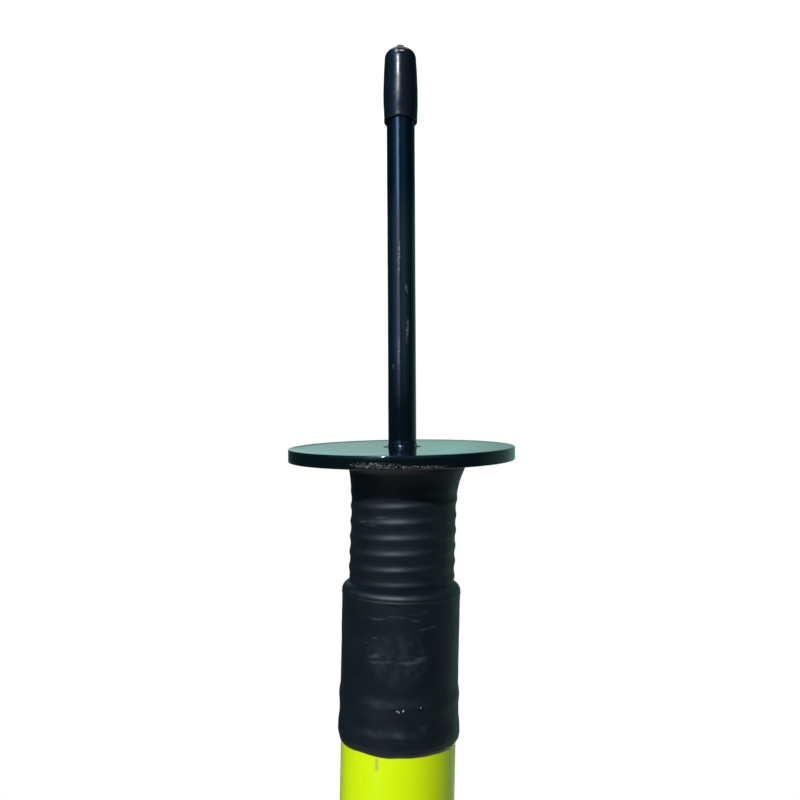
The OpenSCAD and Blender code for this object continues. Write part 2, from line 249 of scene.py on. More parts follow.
# finishes
def makeBlackPaint():
    finish, tree, coords = newFinish("blackPaint")
    haze = grain(tree, coords, 220, low=0.35, high=0.7)
    peel = grain(tree, coords, 900, low=0.3, high=0.7, detail=2.0)
    breakUp = grain(tree, coords, 2600, low=0.45, high=0.58, detail=2.0)
    front = -0.0049
    scuffs = spots(tree, coords, [
        ((0.0008, front, -0.0655), (0.0004, 0.003, 0.0068), 2),
        ((-0.0017, front, -0.0550), (0.0005, 0.003, 0.0020), -6),
        ((-0.0019, front, -0.0405), (0.0005, 0.003, 0.0052), 3),
        ((0.0011, front, -0.0330), (0.0004, 0.003, 0.0062), 2),
        ((0.0030, front + 0.001, -0.0280), (0.0005, 0.003, 0.0008), 8),
    ], breakUp)
    colour = mixColours(tree, scuffs, (0.0012, 0.0048, 0.0085), (0.12, 0.13, 0.14))
    rough = addUp(tree, 0.05, (haze, 0.10), (scuffs, 0.4))
    closeSurface(tree, colour, rough, peel, strength=0.06, IOR=1.5)
    return finish


def makePlatePaint():
    finish, tree, coords = newFinish("platePaint")
    haze = grain(tree, coords, 120, low=0.35, high=0.7)
    peel = grain(tree, coords, 500, low=0.3, high=0.7, detail=2.0)
    chips = grain(tree, coords, 3200, low=0.55, high=0.63, detail=2.0)
    edge = spots(tree, coords, [
        ((0.0095, -0.0385, 0.0031), (0.011, 0.004, 0.0011), 0),
        ((0.0000, -0.0393, 0.0036), (0.026, 0.004, 0.0006), 0),
    ], chips)
    colour = mixColours(tree, edge, (0.0020, 0.0055, 0.0075), (0.24, 0.26, 0.26))
    rough = addUp(tree, 0.07, (haze, 0.06), (edge, 0.4))
    closeSurface(tree, colour, rough, peel, strength=0.10, IOR=1.5)
    return finish


def makeCapVinyl():
    finish, tree, coords = newFinish("capVinyl")
    dull = grain(tree, coords, 300, low=0.4, high=0.65)
    breakUp = grain(tree, coords, 1500, low=0.35, high=0.55, detail=2.0)
    # pale spots by the nub: specks of scuffing, and a painted glint at the dome's tip
    scuffs = spots(tree, coords, [
        ((0.0013, -0.0040, -0.1366), (0.0007, 0.004, 0.0007), 0),
        ((-0.0004, -0.0040, -0.1367), (0.0012, 0.004, 0.0004), 0),
    ], breakUp)
    # the vinyl's near-black is lifted and tinted blue: its own colour, with a painted reflection of the
    # surroundings
    colour = mixColours(tree, scuffs, (0.0045, 0.0085, 0.014), (0.34, 0.36, 0.36))
    rough = addUp(tree, 0.23, (dull, 0.10), (scuffs, 0.4))
    closeSurface(tree, colour, rough, dull, strength=0.2, **{"IOR": 1.5, "Specular IOR Level": 0.2})
    return finish


def makeSleeveFilm():
    finish, tree, coords = newFinish("sleeveFilm")
    dull = grain(tree, coords, 130, low=0.35, high=0.65)
    pores = grain(tree, coords, 1300, low=0.3, high=0.7, detail=3.0)
    streaks = grain(tree, coords, 130, low=0.60, high=0.70, detail=4.0, stretch=(1, 1, 5))
    patches = grain(tree, coords, 420, low=0.40, high=0.60, detail=3.0)
    band = spots(tree, coords, [
        ((0.0, -0.020, 0.064), (0.024, 0.012, 0.013), 0),
        ((0.010, -0.018, 0.024), (0.012, 0.012, 0.006), 0),
    ], streaks)
    # lighter patches: a smudge on the film, and painted highlights on the ring bulges near its upper end
    smudgeAndRingSheen = spots(tree, coords, [
        ((0.0095, -0.0185, 0.0943), (0.0060, 0.006, 0.0022), 0),
        ((0.0010, -0.0210, 0.0952), (0.0015, 0.006, 0.0016), 0),
        ((0.0080, -0.0190, 0.0845), (0.0080, 0.006, 0.0017), 0),
        ((-0.0065, -0.0200, 0.0925), (0.0024, 0.006, 0.0012), 0),
        ((0.0020, -0.0210, 0.0690), (0.0150, 0.006, 0.0100), 0),
    ], patches)
    specks = spots(tree, coords, [
        ((0.0023, -0.0205, 0.0861), (0.00025, 0.004, 0.0004), 0),
        ((0.0016, -0.0205, 0.0864), (0.00020, 0.004, 0.0005), 0),
        ((0.0002, -0.0205, 0.0860), (0.00035, 0.004, 0.0005), 30),
        ((-0.0056, -0.0200, 0.0853), (0.00025, 0.004, 0.00025), 0),
    ], 1.0)
    colour = mixColours(tree, smudgeAndRingSheen, (0.0020, 0.0056, 0.0092), (0.010, 0.0145, 0.019))
    colour = mixColours(tree, band, colour, (0.031, 0.039, 0.047))
    colour = mixColours(tree, specks, colour, (0.35, 0.35, 0.33))
    rough = addUp(tree, 0.44, (dull, 0.08))
    closeSurface(tree, colour, rough, pores, strength=0.15,
                 **{"IOR": 1.5, "Specular IOR Level": 0.4, "Anisotropic": 0.4})
    return finish


def makeBareMetal(name, colour, roughness):
    finish, tree, coords = newFinish(name)
    dull = grain(tree, coords, 700, low=0.35, high=0.7)
    shade = mixColours(tree, dull, colour, tuple(0.75 * part for part in colour))
    rough = addUp(tree, roughness, (dull, 0.15))
    shader = put(tree, "BsdfPrincipled", {"Base Color": shade, "Roughness": rough, "Metallic": 1.0})
    closeFinish(tree, shader)
    return finish


def makePoleGloss():
    finish, tree, coords = newFinish("poleGloss")
    cloudy = grain(tree, coords, 40, low=0.3, high=0.7)
    drawn = grain(tree, coords, 260, low=0.35, high=0.65, detail=3.0, stretch=(1, 1, 0.05))
    breakUp = grain(tree, coords, 600, low=0.3, high=0.6, detail=2.0)
    stain = spots(tree, coords, [
        ((0.0092, -0.0180, 0.1045), (0.0009, 0.006, 0.0030), 0),
    ], breakUp)
    colour = mixColours(tree, cloudy, (0.64, 0.90, 0.002), (0.60, 0.84, 0.002))
    colour = mixColours(tree, calc(tree, "MULTIPLY", stain, 0.7), colour, (0.42, 0.30, 0.14))
    rough = addUp(tree, 0.23, (drawn, 0.06))
    closeSurface(tree, colour, rough, drawn, strength=0.03, IOR=1.48)
    return finish


def makeCapPlastic():
    finish, tree, coords = newFinish("capPlastic")
    pebble = put(tree, "TexVoronoi", {"Vector": coords, "Scale": 1500.0})
    rough = addUp(tree, 0.38, (grain(tree, coords, 90), 0.12))
    closeSurface(tree, (0.016, 0.017, 0.019, 1), rough, pebble.outputs["Distance"], strength=0.2)
    return finish


blackPaint = makeBlackPaint()
platePaint = makePlatePaint()
capVinyl = makeCapVinyl()
sleeveFilm = makeSleeveFilm()
springWire = makeBareMetal("springWire", (0.35, 0.36, 0.38), 0.3)
rivetAlloy = makeBareMetal("rivetAlloy", (0.7, 0.71, 0.73), 0.25)
poleGloss = makePoleGloss()
capPlastic = makeCapPlastic()
print("finishes made")

# rod, with its weld
rod = {
    "radius": 0.0049, "end": -0.1384, "taper": 0.0036, "mouth": -0.113, "blunt": 0.0024, "bluntEdge": 0.0026,
    "edgeRise": 0.0002, "shank": 0.0047, "rootFrom": -0.001, "root": 0.00465, "seat": 0.0005,
    "tenon": 0.004, "tenonTop": 0.0045, "weldLeg": 0.0015, "weldReach": 0.0064,
    "wavyFrom": -0.12, "wavyTo": -0.002, "wavyRadius": 0.0045,
}
rodLine = [(0, rod["end"])] + fineLine([
    (0.0, rod["end"]), (rod["blunt"], rod["end"]), (rod["bluntEdge"], rod["end"] + rod["edgeRise"]),
    (rod["shank"], rod["end"] + rod["taper"]), (rod["radius"], rod["mouth"]), (rod["radius"], rod["rootFrom"]),
    (rod["root"], rod["seat"]), (rod["tenon"], rod["seat"]), (rod["tenon"], rod["tenonTop"]),
    (0, rod["tenonTop"]),
], length=0.0015)[1:]
bm = turnProfile(rodLine, steps=64)


# the rod is a little wavy
def rollRod(r, turn, z):
    if rod["wavyFrom"] < z < rod["wavyTo"] and r > rod["wavyRadius"]:
        r += 0.000035 * lump(0.004 * sin(radians(turn)), 0.004 * cos(radians(turn)), z, 0.016, 3.0)
    return r, z


reshape(bm, rollRod)
spike = makePiece(bm, "spike_rod", blackPaint, "black_steel", "spike", sharp=50)
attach(spike, "foot")

weldLine = [(rod["root"], rod["seat"])] + [
    (rod["weldReach"] - rod["weldLeg"] * sin(radians(a)), rod["rootFrom"] + rod["weldLeg"] * cos(radians(a)))
    for a in range(0, 91, 15)]
bm = turnProfile(weldLine, steps=96, loop=True)


# uneven drops on the weld's lower side
def dropWeld(r, turn, z):
    x, y = sin(radians(turn)), cos(radians(turn))
    drop = noise.noise(Vector((x * 2.2, y * 2.2, 4.0))) + 0.5 * noise.noise(Vector((x * 7, y * 7, z * 900)))
    low = held((rod["seat"] - z) / rod["weldLeg"])
    return r + max(0.0, drop) * 0.0006 * low, z - max(0.0, drop) * 0.0005 * low


reshape(bm, dropWeld)
weldBead = makePiece(bm, "spike_weld_bead", blackPaint, "black_steel", "spike_weld")
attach(weldBead, "foot")
print("rod made")

# cap on the rod's point
cap = {
    "tip": -0.1398, "mouth": -0.113, "bore": 0.00495, "dome": 0.0055, "domeHeight": 0.0044, "nubHeight": 0.0004,
    "lip": 0.00044, "lipIn": 0.001, "lipRise": 0.0012, "lipFrom": -0.1185, "lipOver": 0.0055,
    "boreTo": -0.1348, "boreEnd": -0.1385, "boreEndRadius": 0.00255,
}
domeZ = cap["tip"] + cap["nubHeight"] + cap["domeHeight"]
nub = [(0, 0), (0.0012, 0), (0.0014, 0.0002), (0.0015, 0.00045)]
sideLine = [(cap["dome"], domeZ), (0.0058, -0.1296), (0.0060, -0.1234), (0.00599, -0.1194), (0.00578, -0.1146)]
outside = [(r, cap["tip"] + rise) for r, rise in nub]
outside += [(cap["dome"] * sin(radians(a)), domeZ - cap["domeHeight"] * cos(radians(a)))
            for a in range(22, 91, 6)]
outside += fineLine(sideLine, length=0.0012)[1:]
outside += arcPoints(cap["bore"] + cap["lip"], cap["mouth"] - cap["lip"], cap["lip"], 10, 180, parts=10)
inside = fineLine([(cap["bore"], cap["mouth"] - cap["lipIn"]), (cap["bore"], cap["boreTo"])], length=0.003)
inside += [(cap["boreEndRadius"], cap["boreEnd"]), (0, cap["boreEnd"])]
bm = turnProfile(outside + inside, steps=72)


# the mouth rises at the front and is a little uneven
def rollLip(r, turn, z):
    nearMouth = max(0.0, (z - cap["lipFrom"]) / cap["lipOver"])
    z -= cap["lipRise"] * cos(radians(turn)) * nearMouth ** 2
    z += 0.00012 * noise.noise(Vector((turn / 28, 0.5, 1.5))) * nearMouth
    return r + 0.00006 * lump(0.006 * sin(radians(turn)), 0.006 * cos(radians(turn)), z, 0.006, 1.0), z


reshape(bm, rollLip)
spikeCap = makePiece(bm, "spike_cap_vinyl", capVinyl, "black_vinyl", "spike_cap")
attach(spikeCap, "cap")
print("cap made")

# plate
plate = {
    "radius": 0.0395, "thickness": 0.0045, "edge": 0.00035, "bore": 0.004, "recess": 0.0066, "seat": 0.0005,
    "lean": 0.009, "off": 0.0003, "offOver": 0.015, "rim": 0.038,
}
flatRadius = plate["radius"] - plate["edge"]
plateLine = [(plate["bore"], plate["seat"]), (plate["recess"], plate["seat"]), (plate["recess"], 0)]
plateLine += fineLine([(plate["recess"], 0), (flatRadius, 0)], length=0.006)[1:-1]
plateLine += arcPoints(flatRadius, plate["edge"], plate["edge"], -90, 0, parts=5)
plateLine += arcPoints(flatRadius, plate["thickness"] - plate["edge"], plate["edge"], 0, 90, parts=5)
plateLine += [(plate["bore"], plate["thickness"])]
bm = turnProfile(plateLine, steps=160, loop=True)


# the plate's edge isn't quite round
def bendRim(r, turn, z):
    if r > plate["rim"]:
        r += 0.00004 * noise.noise(Vector((turn / 14, 0.2, 0.7)))
    return r, z


reshape(bm, bendRim)
for vert in bm.verts:
    vert.co.z += plate["lean"] * vert.co.x
    vert.co.x += plate["off"] * min(1.0, hypot(vert.co.x, vert.co.y) / plate["offOver"])
groundPlate = makePiece(bm, "ground_plate_disc", platePaint, "black_steel", "ground_plate", sharp=50)
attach(groundPlate, "foot")
for node in ("spring_boss", "foot_weld", "tenon_weld"):
    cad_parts[node].material_slots[0].material = blackPaint
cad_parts["plug_rivets"].material_slots[0].material = rivetAlloy
print("plate made")

# spring, in two halves that meet in the middle of the neck
spring = {
    "wire": 0.00245, "coil": 0.01485, "pitch": 0.00535, "low": 0.00705, "high": 0.04495,
    "frontRib": 0.00795, "middle": 0.026, "sides": 12, "perTurn": 36,
}
springTurns = (spring["high"] - spring["low"]) / spring["pitch"]
springStart = radians(270) - 2 * pi * (spring["frontRib"] - spring["low"]) / spring["pitch"]


def coilPart(fromTurn, toTurn):
    bm = bmesh.new()
    steps = round((toTurn - fromTurn) * spring["perTurn"])
    startAngle = springStart + 2 * pi * fromTurn
    ring = bmesh.ops.create_circle(bm, segments=spring["sides"], radius=spring["wire"])["verts"]
    start = Matrix.Translation((spring["coil"], 0, spring["low"] + spring["pitch"] * fromTurn))
    place = Matrix.Rotation(startAngle, 4, "Z") @ start @ Matrix.Rotation(pi / 2, 4, "X")
    bmesh.ops.transform(bm, matrix=place, verts=ring)
    geom = ring + list(bm.edges)
    bmesh.ops.spin(bm, geom=geom, cent=(0, 0, 0), axis=(0, 0, 1), angle=2 * pi * (toTurn - fromTurn),
                   dvec=(0, 0, spring["pitch"] * (toTurn - fromTurn) / steps), steps=steps, use_merge=False)
    bmesh.ops.holes_fill(bm, edges=[edge for edge in bm.edges if edge.is_boundary], sides=0)
    bmesh.ops.recalc_face_normals(bm, faces=bm.faces)
    leanPiece(bm)
    return bm


middleTurn = (spring["middle"] - spring["low"]) / spring["pitch"]
lowerCoil = makePiece(
    coilPart(0, middleTurn), "spring_lower", springWire, "spring_steel", "spring", sharp=60)
upperCoil = makePiece(
    coilPart(middleTurn, springTurns), "spring_upper", springWire, "spring_steel", "spring", sharp=60)
print("spring made")

# plug that joins the coil to the pole
plug = {
    "stub": 0.01215, "low": 0.039, "flange": 0.0203, "from": 0.0475, "to": 0.0505, "edge": 0.0024,
    "spigot": 0.018, "bore": 0.015, "high": 0.1085, "chamfer": 0.0015,
}
plugLine = [
    (0, plug["low"]), (plug["stub"] - plug["chamfer"], plug["low"]),
    (plug["stub"], plug["low"] + plug["chamfer"]), (plug["stub"], plug["from"]),
]
plugLine += arcPoints(plug["flange"] - plug["edge"], plug["from"] + plug["edge"], plug["edge"], -90, 0)
plugLine += fineLine([
    (plug["flange"], plug["to"]), (plug["spigot"], plug["to"]),
    (plug["spigot"], plug["high"] - plug["chamfer"]), (plug["spigot"] - plug["chamfer"], plug["high"]),
    (plug["bore"], plug["high"]), (plug["bore"], plug["to"]), (0, plug["to"]),
], length=0.008)
bm = turnProfile(plugLine, steps=64)
leanPiece(bm)
springPlug = makePiece(bm, "spring_plug_turned", blackPaint, "black_steel", "spring_plug", sharp=50)
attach(springPlug, "pole")
print("plug made")

# sleeve, in two halves that meet at the same height
sleeve = {
    "low": 0.00485, "high": 0.1018, "wall": 0.0004, "neck": 0.01823, "flare": 0.02182, "flareHeight": 0.016,
    "flareLess": 0.17, "lopsided": 0.45, "rib": 0.00034, "ribStart": 0.00862, "ribPower": 1.7,
    "ribFade": 0.0025, "neckTop": 0.0468, "shift": 0.00045, "shiftTo": 0.049, "shiftOver": 0.03,
    "shoulder": 0.0499, "shoulderIn": 0.0179, "shoulderRound": 0.00282, "coverFrom": 0.0514, "cover": 0.0205,
    "looseFrom": 0.085, "looseOver": 0.0175,
}
# where the film passes the flange's upper edge, as radius and height
flangeStep = [(0.02071, 0.0501), (0.02071, 0.0503), (0.02079, 0.05045),
              (0.02080, 0.0506), (0.02069, 0.05075), (0.02065, 0.0510)]
# height and radius over the pole, smooth from step to step
coverSteps = [(0.0514, 0.02064), (0.062, 0.02059), (0.076, 0.02058), (0.0815, 0.02060), (0.0860, 0.02104),
              (0.0900, 0.02082), (0.0920, 0.02084), (0.0965, 0.02130), (0.0988, 0.02127), (0.1006, 0.02100),
              (0.1014, 0.02068), (0.1018, 0.02044)]
# the head of the front rivet and the fold over it: how far out, half width, middle height and half height
rivetMarks = [(0.00032, 0.0017, 0.0955, 0.0016), (-0.00012, 0.0005, 0.0903, 0.0022)]
# unevenness of the film: heights of the large lumps on the neck and added on the pole, and of the fine ones
filmLumps = {"onNeck": 0.00006, "onPole": 0.00005, "large": 0.009, "fine": 0.00003, "small": 0.003}


# radius between the plate and the shoulder, without the ribs
def neckRadius(z):
    u = min(1.0, (z - sleeve["low"]) / sleeve["flareHeight"])
    return sleeve["neck"] + (sleeve["flare"] - sleeve["neck"]) * (1 - u) ** 2


def coverRadius(z):
    for (low, small), (high, large) in zip(coverSteps, coverSteps[1:]):
        if z <= high:
            return small + (large - small) * eased((z - low) / (high - low))
    return coverSteps[-1][1]


# the sleeve's profile, from the plate up
def sleeveLine(inset, parts):
    heights = [sleeve["low"] + (sleeve["neckTop"] - sleeve["low"]) * k / parts for k in range(parts + 1)]
    line = [(neckRadius(z) - inset, z) for z in heights]
    radius = sleeve["shoulderRound"] - inset
    line += arcPoints(sleeve["shoulderIn"], sleeve["shoulder"], radius, -70, -5, parts=14)
    line += [(r - inset, z) for r, z in flangeStep]
    parts += 20
    over = sleeve["high"] - sleeve["coverFrom"]
    heights = [sleeve["coverFrom"] + over * k / parts for k in range(parts + 1)]
    return line + [(coverRadius(z) - inset, z) for z in heights]


# the ribs over the coil, the lopsided flare, the rivet and the loose upper end
def wrapSleeve(r, turn, z):
    x, y = sin(radians(turn)), -cos(radians(turn))
    u = (z - sleeve["low"]) / sleeve["flareHeight"]
    # the flare is fuller on the -X side, except right at the plate
    offPlate = min(1.0, (z - sleeve["low"]) / 0.003)
    if u < 1:
        less = -sleeve["flareLess"] - sleeve["lopsided"] * x
        r += (sleeve["flare"] - sleeve["neck"]) * (1 - u) ** 2 * offPlate * less
    fade = held((u - 0.5) / 0.3) * held((plug["from"] - z) / sleeve["ribFade"])
    phase = (z - sleeve["ribStart"]) / spring["pitch"] - turn / 360
    r += sleeve["rib"] * fade * (0.5 + 0.5 * cos(2 * pi * phase)) ** sleeve["ribPower"]
    onPole = held((z - 0.052) / 0.01)
    height = filmLumps["onNeck"] + filmLumps["onPole"] * onPole
    r += height * lump(0.02 * x, 0.02 * y, z, filmLumps["large"], 5.0)
    r += filmLumps["fine"] * lump(0.02 * x, 0.02 * y, z, filmLumps["small"], 8.0)
    for out, wide, middle, tall in rivetMarks:
        r += out * falloff((sleeve["cover"] * x / wide) ** 2 + ((z - middle) / tall) ** 2) * (y < 0)
    # the upper end has come loose
    loose = held((z - sleeve["looseFrom"]) / sleeve["looseOver"])
    r += 0.00035 * loose * noise.noise(Vector((x * 4, y * 4, z / 0.005)))
    r += 0.00018 * loose * noise.noise(Vector((x * 1.6, y * 1.6, 2.0)))
    z += 0.0005 * loose ** 3 * noise.noise(Vector((x * 2.5, y * 2.5, 7.0)))
    return r, z


def sleeveHalf(keepLower):
    outer = sleeveLine(0, 100)
    inner = sleeveLine(sleeve["wall"], 40)
    bm = turnProfile(outer + inner[::-1], steps=128, loop=True)
    reshape(bm, wrapSleeve)
    leanPiece(bm)
    for vert in bm.verts:
        vert.co.x -= sleeve["shift"] * held((sleeve["shiftTo"] - vert.co.z) / sleeve["shiftOver"])
        vert.co.z += plate["lean"] * vert.co.x * max(0.0, 1 - (vert.co.z - plate["thickness"]) / 0.01)
    bmesh.ops.bisect_plane(bm, geom=allOf(bm), plane_co=(0, 0, spring["middle"]), plane_no=(0, 0, 1),
                           clear_outer=keepLower, clear_inner=not keepLower)
    rim = [edge for edge in bm.edges if edge.is_boundary]
    bmesh.ops.bridge_loops(bm, edges=rim)
    bmesh.ops.recalc_face_normals(bm, faces=bm.faces)
    return bm


lowerSleeve = makePiece(
    sleeveHalf(True), "shrink_sleeve_lower", sleeveFilm, "shrink_sleeve", "shrink_sleeve", sharp=50)
upperSleeve = makePiece(
    sleeveHalf(False), "shrink_sleeve_upper", sleeveFilm, "shrink_sleeve", "shrink_sleeve", sharp=50)
for half in (lowerSleeve, lowerCoil):
    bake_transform(half)
for half in (upperSleeve, upperCoil):
    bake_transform(half)
print("sleeve made")

# pole and its top cap
pole = {"radius": 0.0201, "wall": 0.002, "low": 0.0505, "high": 1.5}
poleBore = pole["radius"] - pole["wall"]
poleLine = [(poleBore, pole["low"])]
poleLine += fineLine([(pole["radius"], pole["low"]), (pole["radius"], pole["high"])], length=0.012)
poleLine += fineLine([(poleBore, pole["high"]), (poleBore, pole["low"])], length=0.012)[:-1]
bm = turnProfile(poleLine, steps=128, loop=True)
leanPiece(bm)
poleTube = makePiece(bm, "pole_tube_plastic", poleGloss, "yellow_plastic", "pole_tube", sharp=50)
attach(poleTube, "pole")
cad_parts["top_cap"].material_slots[0].material = capPlastic
print("pole made")


# flag: the cloth, and the pocket over the pole's upper end that it is sewn to
cloth = {
    "start": 0.0228, "top": 1.503, "low": 1.1165, "fly": 0.42, "columns": 150, "rows": 130,
    "foldCount": 1.75, "foldTurn": 38, "foldLean": 0.22, "foldStart": 30, "droop": 21, "walk": 1 / 600,
    "half": 0.00035, "hem": 0.010, "hemHalf": 0.0008, "seam": 0.0005, "seamWidth": 0.012, "rimHalf": 0.00025,
    "threadPitch": 0.0009,
}
stitch = {"half": 0.00035, "pitch": 0.0032, "share": 0.78}
clothHeight = cloth["top"] - cloth["low"]


def threadWave(tree, place):
    return calc(tree, "SINE", calc(tree, "MULTIPLY", place, 2 * pi / cloth["threadPitch"]))


# a row of stitches: dashes along one direction, at a set distance in the other
def stitchRow(tree, across, line, along):
    away = calc(tree, "ABSOLUTE", calc(tree, "SUBTRACT", across, line))
    place = calc(tree, "FRACT", calc(tree, "DIVIDE", along, stitch["pitch"]))
    near = calc(tree, "LESS_THAN", away, stitch["half"])
    return calc(tree, "MULTIPLY", near, calc(tree, "LESS_THAN", place, stitch["share"]))


# across and along count in metres from the cloth's own UV map
def makeFlagCloth(name, width, height, upright, level):
    finish, tree, coords = newFinish(name)
    split = put(tree, "SeparateXYZ", {0: put(tree, "TexCoord").outputs["UV"]})
    across = calc(tree, "MULTIPLY", split.outputs[0], width)
    along = calc(tree, "MULTIPLY", split.outputs[1], height)
    weave = calc(tree, "MULTIPLY", threadWave(tree, across), threadWave(tree, along))
    rows = [stitchRow(tree, across, line, along) for line in upright]
    rows += [stitchRow(tree, along, line, across) for line in level]
    sewn = strongest(tree, rows)
    mottle = grain(tree, coords, 22, low=0.3, high=0.7)
    slubs = grain(tree, coords, 700, low=0.35, high=0.75, detail=2.0)
    colour = mixColours(tree, mottle, (0.86, 0.085, 0.018), (0.80, 0.070, 0.014))
    colour = mixColours(tree, calc(tree, "MULTIPLY", slubs, 0.25), colour, (0.66, 0.055, 0.012))
    colour = mixColours(tree, calc(tree, "MULTIPLY", sewn, 0.55), colour, (0.95, 0.30, 0.14))
    raised = addUp(tree, 0.0, (weave, 0.25), (sewn, 1.5))
    rough = addUp(tree, 0.62, (slubs, 0.10))
    closeSurface(tree, colour, rough, raised, strength=0.35, distance=0.0002,
                 **{"Specular IOR Level": 0.06})
    return finish


# points of the cloth's middle surface, one row from the pocket to the free edge
def clothRow(share, places):
    point = Vector((cloth["start"], 0, cloth["top"] - clothHeight * share))
    row, done = [], 0.0
    for place in places:
        while done + 1e-9 < place:
            span = min(cloth["walk"], place - done)
            middle = done + span / 2
            fold = 360 * (cloth["foldCount"] * middle - cloth["foldLean"] * share) + cloth["foldStart"]
            heading = radians(cloth["foldTurn"] * min(1, 3 * middle) * cos(radians(fold)))
            down = radians(cloth["droop"] * middle)
            way = Vector((cos(down) * cos(heading), cos(down) * sin(heading), -sin(down)))
            point = point + way * span * cloth["fly"]
            done += span
        row.append(point.copy())
    return row


# metres from the nearest hemmed edge
def fromHems(along, down):
    return min(cloth["fly"] - along, down, clothHeight - down)


# ripples of the cloth: height, size along, size down and seed
ripples = [(0.0045, 0.075, 0.11, 3.0), (0.0014, 0.022, 0.03, 9.0), (0.0003, 0.009, 0.009, 5.0)]
# pulls that fan out from the sewn top corner
pulls = {"height": 0.0022, "count": 11, "from": 0.04, "reach": 0.26}
# creases from being put away folded: their places and heights
uprightCreases = [(0.212, 0.0009), (0.105, -0.0006), (0.318, 0.0006)]
levelCrease = (0.197, -0.0010)
crease = 0.003
# the hems pucker along their stitches
pucker = {"height": 0.0006, "reach": 0.022, "size": 0.006}


# how far the cloth stands out of its smooth folds, at metres along and down from its top corner
def clothRipple(along, down):
    out = 0.0
    for height, wide, tall, seed in ripples:
        out += height * noise.noise(Vector((along / wide, down / tall, seed)))
    reach = hypot(along, down)
    fan = sin(pulls["count"] * atan2(down, along) + 1.0)
    out += pulls["height"] * fan * min(1.0, reach / pulls["from"]) * max(0.0, 1 - reach / pulls["reach"]) ** 2
    for place, height in uprightCreases:
        out += height * falloff(abs(along - place) / crease)
    out += levelCrease[1] * falloff(abs(down - levelCrease[0]) / crease)
    near = max(0.0, 1 - fromHems(along, down) / pucker["reach"])
    out += pucker["height"] * near * noise.noise(Vector((along / pucker["size"], down / pucker["size"], 1.0)))
    # nothing of it where it is sewn to the pocket
    return out * min(1.0, along / 0.03)


# half of the cloth's thickness: thin at the rim, thicker at hems and seam
def halfThickness(along, down):
    edge = fromHems(along, down)
    if edge < 0.0003:
        return cloth["rimHalf"]
    seam = cloth["seam"] if along < cloth["seamWidth"] else 0.0
    return max(cloth["half"] + seam, cloth["hemHalf"] if edge < cloth["hem"] + 0.0001 else 0.0)


# a grid laid along its folds, rippled, and doubled to give it its thickness
def clothPiece():
    bm = bmesh.new()
    bm.loops.layers.uv.new("UVMap")
    bmesh.ops.create_grid(bm, x_segments=cloth["columns"], y_segments=cloth["rows"], size=0.5, calc_uvs=True)
    bmesh.ops.translate(bm, vec=(0.5, -0.5, 0), verts=bm.verts)
    # extra lines along the hems and the seam
    for inward in (0.0004, cloth["hem"], cloth["hem"] + 0.0008):
        wide, high = inward / cloth["fly"], inward / clothHeight
        cuts = (((1 - wide, 0, 0), (1, 0, 0)), ((0, -high, 0), (0, 1, 0)), ((0, high - 1, 0), (0, 1, 0)))
        for point, way in cuts:
            bmesh.ops.bisect_plane(bm, geom=allOf(bm), plane_co=point, plane_no=way)
    places = sorted({round(vert.co.x, 5) for vert in bm.verts})
    column = {place: index for index, place in enumerate(places)}
    rows = {share: clothRow(share, places) for share in {round(-vert.co.y, 5) for vert in bm.verts}}
    where = {}
    for vert in bm.verts:
        along, share = round(vert.co.x, 5), round(-vert.co.y, 5)
        where[vert] = (along * cloth["fly"], share * clothHeight)
        vert.co = rows[share][column[along]]
    bm.normal_update()
    outward = {vert: vert.normal.copy() for vert in bm.verts}
    for vert, (along, down) in where.items():
        vert.co += outward[vert] * clothRipple(along, down)
    bm.normal_update()
    outset = [(vert, vert.normal * halfThickness(*where[vert])) for vert in bm.verts]
    copied = bmesh.ops.duplicate(bm, geom=allOf(bm))
    twin = copied["vert_map"]
    for vert, away in outset:
        twin[vert].co -= away
        vert.co += away
    farSide = [item for item in copied["geom"] if isinstance(item, bmesh.types.BMFace)]
    bmesh.ops.reverse_faces(bm, faces=farSide)
    bmesh.ops.bridge_loops(bm, edges=[edge for edge in bm.edges if edge.is_boundary])
    return bm


flagCloth = makeFlagCloth("flagCloth", cloth["fly"], clothHeight,
                          (0.0035, 0.0095, cloth["fly"] - 0.0085, cloth["fly"] - 0.0018),
                          (0.0085, clothHeight - 0.0085, 0.0018, clothHeight - 0.0018))
flagSheet = makePiece(clothPiece(), "flag_cloth_sheet", flagCloth, "flag_cloth", "flag_cloth")
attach(flagSheet, "flag")
print("flag cloth made")

# pocket, sewn up at its top, with its seam on the +X side
pocket = {
    "inner": 0.0205, "wall": 0.0007, "low": 1.1165, "top": 1.503, "dome": 0.0135, "hem": 0.012, "open": 28,
    "around": 0.131, "height": 0.4, "lowReach": 0.05, "hemOut": 0.0005, "ridge": 0.0013, "ridgeWidth": 0.0016,
    "gathers": 14, "gatherOut": 0.0004,
}


def pocketLine(out, parts):
    radius, dome = pocket["inner"] + out, pocket["dome"] + out
    line = [(radius, pocket["low"] + (pocket["top"] - pocket["low"]) * k / parts) for k in range(parts + 1)]
    line += [(radius * cos(radians(a)), pocket["top"] + dome * sin(radians(a))) for a in range(3, 88, 3)]
    return line + [(0, pocket["top"] + dome)]


